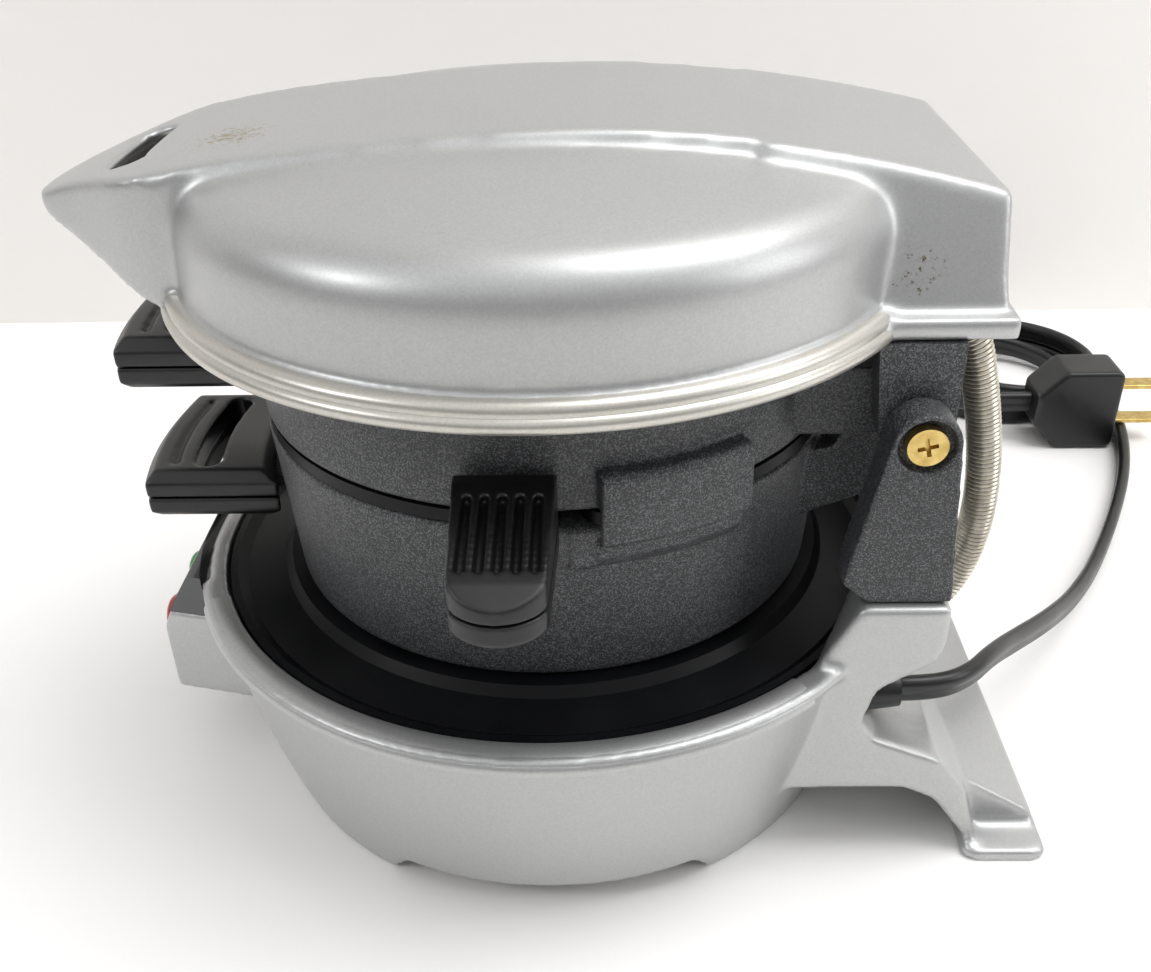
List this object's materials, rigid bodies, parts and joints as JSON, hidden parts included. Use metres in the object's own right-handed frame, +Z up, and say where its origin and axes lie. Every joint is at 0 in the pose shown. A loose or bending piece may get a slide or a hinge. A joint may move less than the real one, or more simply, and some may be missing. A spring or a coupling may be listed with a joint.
{
  "type": "breakfast sandwich maker",
  "caption": "Tabletop sandwich cooker: heated base, hinged rings for the layers, a swing-out plate between them and a domed hinged cover, with front grips, lamps and a cord.",
  "frame": {"origin": "on the table, where the axis of the round cooking parts meets it", "axes": "+X to the user's right, +Y from the grips towards the hinge, +Z up along the cooking axis"},
  "size_m": [0.291, 0.2991, 0.1492],
  "materials": {
    "silver_housing": "metallic silver paint on moulded plastic",
    "smoked_cap": "dark glossy",
    "black_plate": "cast, black non-stick coat",
    "ring_paint": "cast, dark grey speckled non-stick coat",
    "black_plastic": "black moulded",
    "red_lens": "translucent red",
    "green_lens": "translucent green",
    "board": "laminate",
    "brass": "bright",
    "steel": "bright",
    "element_steel": "dull",
    "cord_rubber": "black vinyl",
    "cover_silver": "metallic silver paint on moulded plastic"
  },
  "bodies": {
    "base": {"base_housing": "silver_housing", "bottom_cover": "steel", "bottom_cover_screws": "steel", "bottom_heating_plate": "black_plate", "bottom_heating_element": "element_steel", "base_thermostat": "steel", "thermal_fuse": "steel", "control_cap": "smoked_cap", "red_light_lens": "red_lens", "green_light_lens": "green_lens", "lamp_board": "board", "hinge_post_right": "ring_paint", "hinge_post_left": "ring_paint", "hinge_screws": "brass", "strain_relief": "cord_rubber", "power_cord": "cord_rubber", "cord_coil": "cord_rubber", "cord_tail": "cord_rubber", "plug_body": "cord_rubber", "plug_prongs": "brass", "conduit": "steel", "lower_ferrule": "steel"},
    "bottom_ring": {"bottom_ring": "ring_paint", "bottom_grip_upper": "black_plastic", "bottom_grip_lower": "black_plastic", "bottom_grip_screws": "steel"},
    "top_ring": {"top_ring": "ring_paint", "top_grip_upper": "black_plastic", "top_grip_lower": "black_plastic", "top_grip_screws": "steel", "swing_pin": "steel"},
    "cooking_plate": {"cooking_plate": "black_plate", "plate_grip_upper": "black_plastic", "plate_grip_lower": "black_plastic", "plate_grip_screw": "steel"},
    "cover": {"cover_shell": "cover_silver", "cover_liner": "black_plate", "cover_hinge_bracket": "ring_paint", "bracket_screws": "steel", "top_heating_plate": "black_plate", "heater_screws": "steel", "top_heating_element": "element_steel", "top_thermostat": "steel", "upper_ferrule": "steel"}
  },
  "joints": [
    {"name": "bottom_ring_lift", "type": "hinge", "parent": "base", "child": "bottom_ring", "pos_m": [0, 0.069, 0.099], "axis": [-1, 0, 0], "range_deg": [0, 25], "deforming": ["conduit"]},
    {"name": "top_ring_lift", "type": "hinge", "parent": "bottom_ring", "child": "top_ring", "pos_m": [0, 0.069, 0.099], "axis": [-1, 0, 0], "range_deg": [0, 30], "deforming": ["conduit"]},
    {"name": "cover_lift", "type": "hinge", "parent": "top_ring", "child": "cover", "pos_m": [0, 0.069, 0.099], "axis": [-1, 0, 0], "range_deg": [0, 50], "deforming": ["conduit"]},
    {"name": "plate_swing", "type": "hinge", "parent": "top_ring", "child": "cooking_plate", "pos_m": [0.05516, 0.01223, 0.0897], "axis": [0, 0, 1], "range_deg": [0, 100]}
  ]
}
